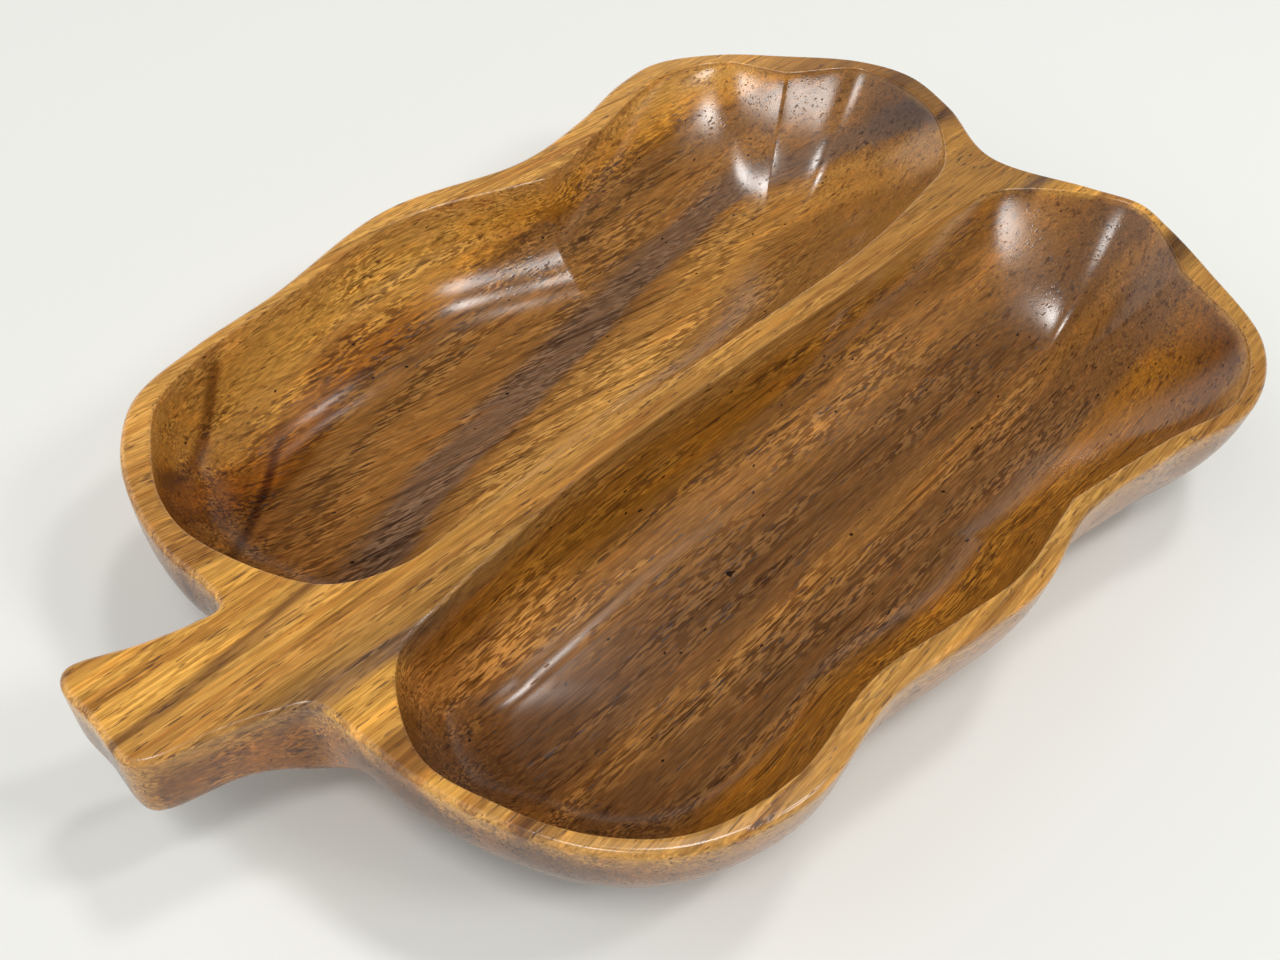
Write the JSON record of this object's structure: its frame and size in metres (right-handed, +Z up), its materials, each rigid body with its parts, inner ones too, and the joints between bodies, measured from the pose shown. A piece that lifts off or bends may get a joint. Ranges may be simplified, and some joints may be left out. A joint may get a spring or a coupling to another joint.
{
  "type": "leaf-shaped serving bowl",
  "caption": "Leaf-shaped wooden serving bowl carved from edge-glued staves, with a stem handle, a flat rim and a rib that divides it into deep scalloped basins.",
  "frame": {"origin": "centre of the bowl's bounding box, on the surface that its foot stands on", "axes": "+X along the rib from the stem to the leaf's tip, +Y to the left of the rib, +Z up"},
  "size_m": [0.3328, 0.2192, 0.044],
  "materials": {
    "lacquered_wood": "clear gloss lacquer over open-pored brown wood"
  },
  "bodies": {
    "root": {"middle_board": "lacquered_wood", "right_stave_1": "lacquered_wood", "right_stave_2": "lacquered_wood", "right_stave_3": "lacquered_wood", "right_stave_4": "lacquered_wood", "left_stave_1": "lacquered_wood", "left_stave_2": "lacquered_wood", "left_stave_3": "lacquered_wood", "left_stave_4": "lacquered_wood"}
  },
  "joints": []
}
